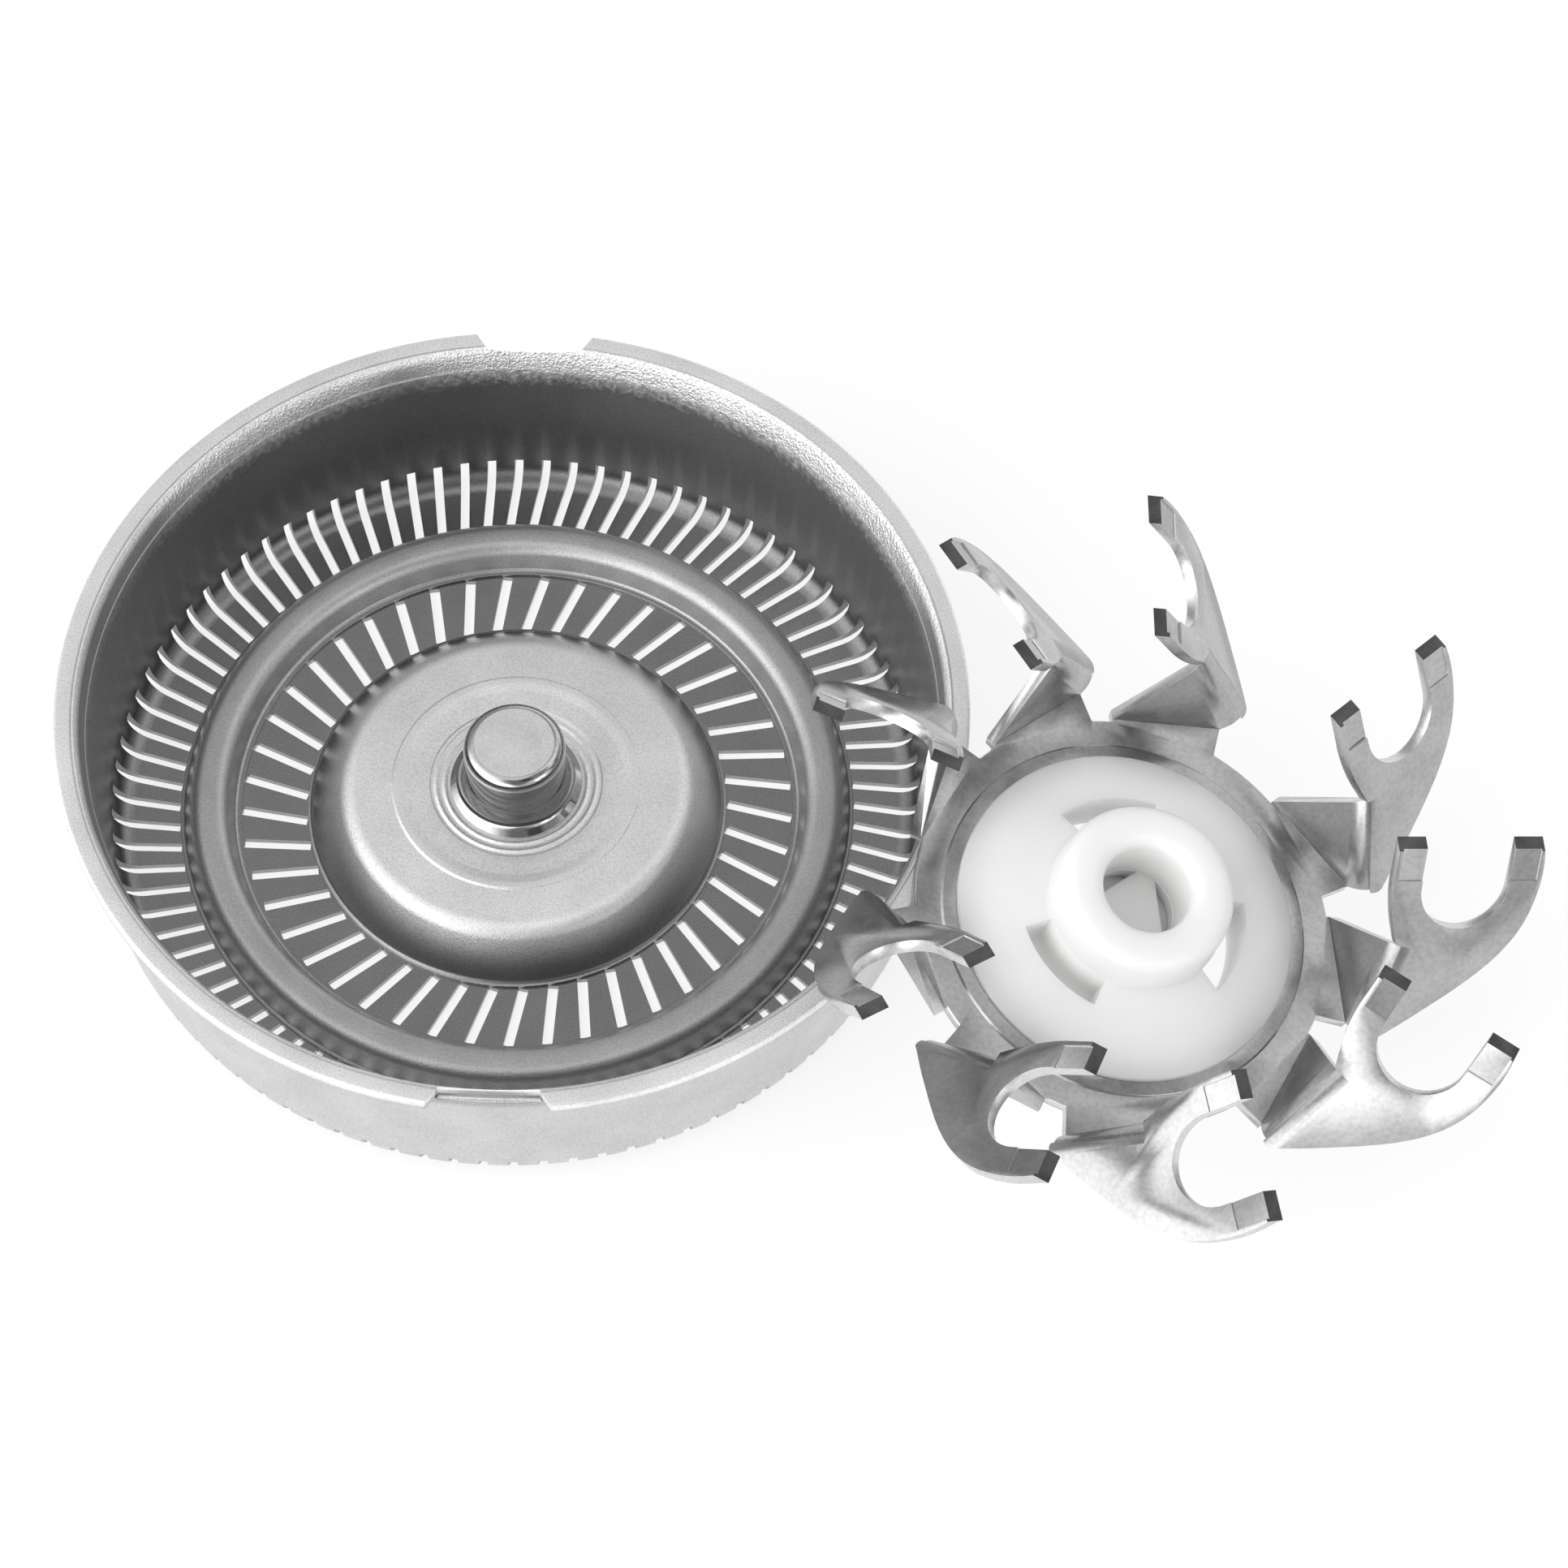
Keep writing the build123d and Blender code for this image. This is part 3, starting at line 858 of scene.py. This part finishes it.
@dataclass
class CentrePin:
    """Polished pin with a rounded end and a flared foot, riveted through the dome, in millimetres."""

    radius: float = 1.70
    top: float = 4.27
    rounding: float = 0.44
    dome: float = 1.80
    seat: float = 1.73
    foot_r: float = 2.20
    flare_r: float = 1.87
    flare_up: Pair = (0.20, 0.75)
    # Height above the dome from which the pin's sides are painted dark.
    painted_side_start: float = 0.30
    under: float = 1.50
    shank_r: float = 0.90
    rivet_r: float = 1.35
    rivet_h: float = 0.18

    def outline(self) -> list[Corner]:
        """Section of the pin.

        Returns:
            Corners from the rivet's underside up to the end.
        """
        low = self.under - self.rivet_h
        return [
            (0, low, 0), (self.rivet_r, low, 0.10), (self.rivet_r, self.under, 0),
            (self.shank_r, self.under, 0), (self.shank_r, self.seat, 0),
            (self.foot_r, self.seat, 0), (self.foot_r, self.dome, 0.03),
            (self.flare_r, self.dome + self.flare_up[0], 0.40),
            (self.radius, self.dome + self.flare_up[1], 0.80),
            (self.radius, self.top, self.rounding), (0, self.top, 0),
        ]

    def build(self) -> bpy.types.Object:
        """Turns and dresses the pin.

        Returns:
            The pin, with a satin end and sides painted darker as a painted dark reflection.
        """
        pin = finished("pin_body", spun(self.outline(), 160, 10), guard_place())
        smoothed(pin, 40)
        dressed(pin, (Finish.PIN, Finish.PIN_END, Finish.PIN_SIDE), "centre_pin")
        for face in pin.data.polygons:
            up = face.center.z / MM
            if face.normal.z > 0.995 and up > self.top - 0.01:
                face.material_index = 1
            # Painted dark reflection: the sides above the foot band take the darker copy of the polish.
            elif self.dome + self.painted_side_start < up < self.top - self.rounding:
                face.material_index = 2
        return pin


@dataclass
class DriveHub:
    """Moulded hub with a domed disc, a collar with its bore, windows and a sleeve, in millimetres."""

    disc_r: float = 5.65
    disc_h: float = 0.26
    lip_h: float = 0.08
    neck_r: float = 4.90
    clip_r: float = 5.45
    clip_z: Pair = (-0.95, -0.40)
    collar_r: float = 2.88
    collar_h: float = 2.60
    collar_round: float = 0.50
    bore_r: float = 1.46
    bore_depth: float = 2.16
    sleeve_r: float = 2.85
    sleeve_down: float = 4.73
    window_at: float = 96.0
    window_arc: float = 52.0
    window_r: Pair = (2.97, 3.80)
    window_z: Pair = (-1.5, 2.5)
    web_t: float = 0.5
    web_hole_r: float = 1.43
    web_hole_from: float = 0.98
    web_hole_z: Pair = (-0.80, 0.10)
    socket_r: float = 2.5
    socket_round: float = 0.85
    over: float = 0.2

    @property
    def crown(self) -> float:
        """Height of the collar's top."""
        return self.disc_h + self.collar_h

    @property
    def bore_floor(self) -> float:
        """Height of the bottom of the bore."""
        return self.crown - self.bore_depth

    def outline(self) -> list[Corner]:
        """Section of the hub.

        Returns:
            Corners from the sleeve's end up to the bottom of the bore.
        """
        down = -self.sleeve_down
        clip_low, clip_high = self.clip_z
        return [
            (0, down, 0), (self.sleeve_r, down, 0.15), (self.sleeve_r + 0.06, clip_low, 0.05),
            (self.clip_r, clip_low, 0.15), (self.clip_r, clip_high, 0.02), (self.neck_r, clip_high, 0),
            (self.neck_r, self.lip_h, 0), (self.disc_r, self.lip_h, 0.03), (self.disc_r, self.disc_h, 0.10),
            (4.30, self.disc_h + 0.64, 8.0), (self.collar_r + 0.07, self.disc_h + 1.06, 0.16),
            (self.collar_r, self.crown, self.collar_round), (self.bore_r, self.crown, self.collar_round),
            (self.bore_r, self.bore_floor, 0.04), (0, self.bore_floor, 0),
        ]

    def window(self, bm: bmesh.types.BMesh, bearing: float) -> None:
        """Adds one window beside the collar as a ring sector.

        Args:
            bm: The mesh that takes it.
            bearing: Its bearing, in degrees.
        """
        r0, r1 = self.window_r
        z0, z1 = self.window_z
        start = turned(bearing - self.window_arc / 2)
        verts = [bm.verts.new(start @ Vector((r, 0, z))) for r, z in ((r0, z0), (r1, z0), (r1, z1), (r0, z1))]
        face = bm.faces.new(verts)
        bmesh.ops.spin(bm, geom=[face], axis=(0, 0, 1), cent=(0, 0, 0), angle=math.radians(self.window_arc),
                       steps=16)
        for v in bm.verts:
            v.tag = True

    def web_hole(self, bm: bmesh.types.BMesh, bearing: float) -> None:
        """Adds one opening of the web between bore and socket, a segment of a disc.

        Args:
            bm: The mesh that takes it, with every vertex that is already there tagged.
            bearing: Its bearing, in degrees.
        """
        turn = turned(bearing)
        low, high = self.web_hole_z
        at = Matrix.Translation((0, 0, self.bore_floor + (low + high) / 2))
        bmesh.ops.create_cone(bm, cap_ends=True, segments=48, radius1=self.web_hole_r, radius2=self.web_hole_r,
                              depth=high - low, matrix=turn @ at)
        disc = [v for v in bm.verts if not v.tag]
        edges = list({e for v in disc for e in v.link_edges})
        faces = list({f for v in disc for f in v.link_faces})
        normal = turn @ Vector((1, 0, 0))
        bmesh.ops.bisect_plane(bm, geom=disc + edges + faces, plane_co=normal * self.web_hole_from,
                               plane_no=normal, clear_inner=True)
        bmesh.ops.holes_fill(bm, edges=[e for e in bm.edges if e.is_boundary])
        for v in bm.verts:
            v.tag = True

    def socket(self, bm: bmesh.types.BMesh) -> None:
        """Adds the rounded three-sided drive socket.

        Args:
            bm: The mesh that takes it, with every vertex that is already there tagged.
        """
        top = self.bore_floor - self.web_t
        low = -self.sleeve_down - self.over
        at = Matrix.Translation((0, 0, (top + low) / 2))
        bmesh.ops.create_cone(bm, cap_ends=True, segments=3, radius1=self.socket_r, radius2=self.socket_r,
                              depth=top - low, matrix=at @ turned(-90))
        new = [e for e in bm.edges if not all(v.tag for v in e.verts)]
        corners = [e for e in new if abs(e.verts[0].co.z - e.verts[1].co.z) > 1]
        bmesh.ops.bevel(bm, geom=corners, offset=self.socket_round, offset_type="OFFSET", segments=6,
                        profile=0.5, affect="EDGES", material=-1)

    def cutter(self) -> bpy.types.Object:
        """Puts the windows, the web's openings and the drive socket in one set of blocks.

        Returns:
            The object to cut out of the hub.
        """
        bm = bmesh.new()
        for i in range(3):
            self.window(bm, self.window_at + 120 * i)
            self.web_hole(bm, 120 * i)
        self.socket(bm)
        bmesh.ops.recalc_face_normals(bm, faces=bm.faces[:])
        return finished("hub_cutter", bm, cutter_place())

    def build(self) -> bpy.types.Object:
        """Turns the hub, opens it and dresses it.

        Returns:
            The hub.
        """
        hub = finished("hub_moulding", spun(self.outline(), 192), cutter_place())
        carved(hub, self.cutter())
        smoothed(hub, 35)
        dressed(hub, (Finish.HUB,), "drive_hub")
        return hub


@dataclass
class CutterWheel:
    """Stamped and folded wheel with nine forked arms, in millimetres and degrees."""

    tip_z: float = 5.73
    tip_depth: float = 0.06
    edge_break: float = 0.05
    sheet_t: float = 0.45
    merge: float = 0.002
    flat_angle: float = 0.8
    corner_angle: float = 45.0

    def build(self) -> bpy.types.Object:
        """Takes the wheel's solid, breaks its edges and dresses it.

        Returns:
            The wheel, with satin sheet, brighter sheared edges and dark ground tips.
        """
        bm = bmesh.new()
        bm.from_mesh(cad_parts["cutter_wheel"].data)
        bmesh.ops.remove_doubles(bm, verts=bm.verts[:], dist=self.merge * MM)
        bmesh.ops.dissolve_limit(bm, angle_limit=math.radians(self.flat_angle), verts=bm.verts[:],
                                 edges=bm.edges[:])
        limit = math.radians(self.corner_angle)
        sharp = [e for e in bm.edges if len(e.link_faces) == 2 and e.calc_face_angle() > limit]
        for face in self.sheared(bm, set(sharp)):
            face.material_index = 2
        broken = bmesh.ops.bevel(bm, geom=sharp, offset=self.edge_break * MM, offset_type="OFFSET", segments=2,
                                 profile=0.5, affect="EDGES", material=-1, clamp_overlap=True)
        for face in broken["faces"]:
            face.material_index = 2
        wheel = finished("cutter_blades", bm, Matrix.Identity(4), 1.0)
        smoothed(wheel, 38)
        dressed(wheel, (Finish.CUTTER, Finish.TIP, Finish.EDGE), "cutter_wheel")
        self.mark_tips(wheel)
        return wheel

    def sheared(self, bm: bmesh.types.BMesh, sharp: set[bmesh.types.BMEdge]) -> list[bmesh.types.BMFace]:
        """Finds the sheet's sheared edges: smooth runs of faces no wider than the sheet is thick.

        Args:
            bm: The wheel's mesh, in metres.
            sharp: Its sharp edges, which part one run from the next.

        Returns:
            The faces of those runs.
        """
        left = set(bm.faces)
        found = []
        while left:
            run = [left.pop()]
            for face in run:
                for edge in face.edges:
                    if edge not in sharp:
                        run += [other for other in edge.link_faces if other in left]
                        left.difference_update(edge.link_faces)
            area = sum(face.calc_area() for face in run)
            around = sum(edge.calc_length() for face in run for edge in face.edges if edge in sharp)
            if area < self.sheet_t * MM * around / 2:
                found += run
        return found

    def mark_tips(self, wheel: bpy.types.Object) -> None:
        """Gives the faces of the ground tips their own finish.

        Args:
            wheel: The wheel.
        """
        back = cutter_place().inverted()
        for face in wheel.data.polygons:
            up = (back @ face.center).z / MM
            if up > self.tip_z - self.tip_depth and face.normal.dot(CUTTER_AXIS) > 0.9:
                face.material_index = 1


# ---------------------------------------------------------------- the studio


@dataclass(frozen=True)
class Patch:
    """Round soft patch of the surroundings, lighter or darker than the rest, with its radii in degrees."""

    towards: Triple
    core: float
    reach: float
    change: float


@dataclass
class Studio:
    """Floor, surroundings, lamp and camera, with the camera's place in millimetres and the lamp's in metres."""

    centre: Triple = (-0.2484, -103.1276, 174.8015)
    elevation: float = 58.598
    roll: float = 1.0046
    lens: float = 139.497
    sensor: float = 36.0
    surroundings: float = 1.05
    darkest: float = 0.10
    floor_half: float = 1.5
    floor_z: float = -0.00002
    floor_grey: float = 0.22
    floor_glow: float = 0.80
    lamp_at: Triple = (-0.35, -0.25, 0.45)
    lamp_size: float = 0.35
    lamp_watts: float = 0.5
    patches: tuple[Patch, ...] = (
        Patch((-0.80, -0.45, 0.38), 18, 52, 1.32),
        Patch((-0.34, -0.89, 0.31), 12, 26, 1.20),
        Patch((0.71, -0.54, 0.42), 7, 14, 1.80),
        Patch((0.08, 0.58, 0.81), 14, 34, -0.60),
        Patch((0.44, 0.32, 0.84), 8, 22, 0.25),
        Patch((0.02, -0.66, 0.75), 12, 32, -0.80),
        Patch((0.40, -0.92, 0.05), 8, 30, -0.40),
        Patch((-0.55, 0.80, 0.18), 14, 40, -0.65),
        Patch((0.90, 0.20, 0.25), 14, 30, -0.65),
        Patch((0.45, -0.26, 0.85), 10, 24, -0.70),
    )

    def camera(self) -> None:
        """Camera at the photograph's place and angle."""
        e = math.radians(self.elevation)
        r = math.radians(self.roll)
        across = Vector((1, 0, 0))
        up = Vector((0, math.sin(e), math.cos(e)))
        ahead = Vector((0, math.cos(e), -math.sin(e)))
        right = across * math.cos(r) + up * math.sin(r)
        upright = up * math.cos(r) - across * math.sin(r)
        data = bpy.data.cameras.new("camera")
        data.sensor_width = self.sensor
        data.sensor_height = self.sensor
        data.lens = self.lens
        data.clip_start = 0.005
        data.clip_end = 20.0
        camera = bpy.data.objects.new("camera", data)
        axes = Matrix((right, upright, -ahead)).transposed().to_4x4()
        camera.matrix_world = Matrix.Translation(Vector(self.centre) * MM) @ axes
        bpy.context.scene.collection.objects.link(camera)
        bpy.context.scene.camera = camera

    def around(self, tree: bpy.types.NodeTree) -> Socket:
        """Brightness of the surroundings in each direction.

        Args:
            tree: The world's nodes.

        Returns:
            The plain level with every patch added, and never below the darkest.
        """
        coords = tree.nodes.new("ShaderNodeTexCoord")
        total = None
        for patch in self.patches:
            side = tree.nodes.new("ShaderNodeVectorMath")
            side.operation = "DOT_PRODUCT"
            side.inputs[1].default_value = Vector(patch.towards).normalized()
            tree.links.new(coords.outputs["Generated"], side.inputs[0])
            soft = tree.nodes.new("ShaderNodeMapRange")
            soft.interpolation_type = "SMOOTHSTEP"
            soft.inputs["From Min"].default_value = math.cos(math.radians(patch.reach))
            soft.inputs["From Max"].default_value = math.cos(math.radians(patch.core))
            soft.inputs["To Max"].default_value = patch.change
            tree.links.new(side.outputs["Value"], soft.inputs["Value"])
            add = tree.nodes.new("ShaderNodeMath")
            add.operation = "ADD"
            add.inputs[0].default_value = self.surroundings
            if total is not None:
                tree.links.new(total, add.inputs[0])
            tree.links.new(soft.outputs["Result"], add.inputs[1])
            total = add.outputs[0]
        least = tree.nodes.new("ShaderNodeMath")
        least.operation = "MAXIMUM"
        least.inputs[1].default_value = self.darkest
        tree.links.new(total, least.inputs[0])
        return least.outputs[0]

    def world(self) -> None:
        """White background, and soft surroundings for everything but the camera."""
        world = bpy.data.worlds.new("surroundings")
        bpy.context.scene.world = world
        world.use_nodes = True
        tree = world.node_tree
        tree.nodes.clear()
        around = tree.nodes.new("ShaderNodeBackground")
        tree.links.new(self.around(tree), around.inputs["Strength"])
        seen = tree.nodes.new("ShaderNodeBackground")
        for background in (around, seen):
            background.inputs["Color"].default_value = (1, 1, 1, 1)
        path = tree.nodes.new("ShaderNodeLightPath")
        mix = tree.nodes.new("ShaderNodeMixShader")
        tree.links.new(path.outputs["Is Camera Ray"], mix.inputs[0])
        tree.links.new(around.outputs[0], mix.inputs[1])
        tree.links.new(seen.outputs[0], mix.inputs[2])
        out = tree.nodes.new("ShaderNodeOutputWorld")
        tree.links.new(mix.outputs[0], out.inputs["Surface"])

    def floor(self) -> None:
        """Plain pale floor that glows nearly white and keeps a faint shadow."""
        bm = bmesh.new()
        bmesh.ops.create_grid(bm, x_segments=1, y_segments=1, size=self.floor_half,
                              matrix=Matrix.Translation((0, 0, self.floor_z)))
        floor = finished("floor", bm, Matrix.Identity(4), 1.0)
        material = bpy.data.materials.new("floor_paper")
        material.use_nodes = True
        shader = material.node_tree.nodes["Principled BSDF"]
        shader.inputs["Base Color"].default_value = (self.floor_grey, self.floor_grey, self.floor_grey, 1)
        shader.inputs["Roughness"].default_value = 1.0
        shader.inputs["Specular IOR Level"].default_value = 0.0
        shader.inputs["Emission Color"].default_value = (1, 1, 1, 1)
        shader.inputs["Emission Strength"].default_value = self.floor_glow
        floor.data.materials.append(material)

    def lamp(self) -> None:
        """Square soft lamp aimed at the middle of the object."""
        data = bpy.data.lights.new("key_lamp", "AREA")
        data.size = self.lamp_size
        data.energy = self.lamp_watts
        lamp = bpy.data.objects.new("key_lamp", data)
        lamp.location = self.lamp_at
        aim = Vector((0, 0, 0.005)) - Vector(self.lamp_at)
        lamp.rotation_euler = aim.to_track_quat("-Z", "Y").to_euler()
        lamp.visible_glossy = False
        bpy.context.scene.collection.objects.link(lamp)

    def build(self) -> None:
        """Sets the whole studio up."""
        bpy.context.scene.view_settings.view_transform = "Standard"
        self.camera()
        self.world()
        self.floor()
        self.lamp()


def main() -> None:
    """Builds the studio and every piece in order."""
    logging.basicConfig(level=logging.INFO, format="%(name)s: %(message)s")
    Studio().build()
    for piece in (Guard(), CentrePin(), CutterWheel(), DriveHub()):
        made = piece.build()
        log.info("%s: %d faces", made.name, len(made.data.polygons))


if __name__ == "__main__":
    main()
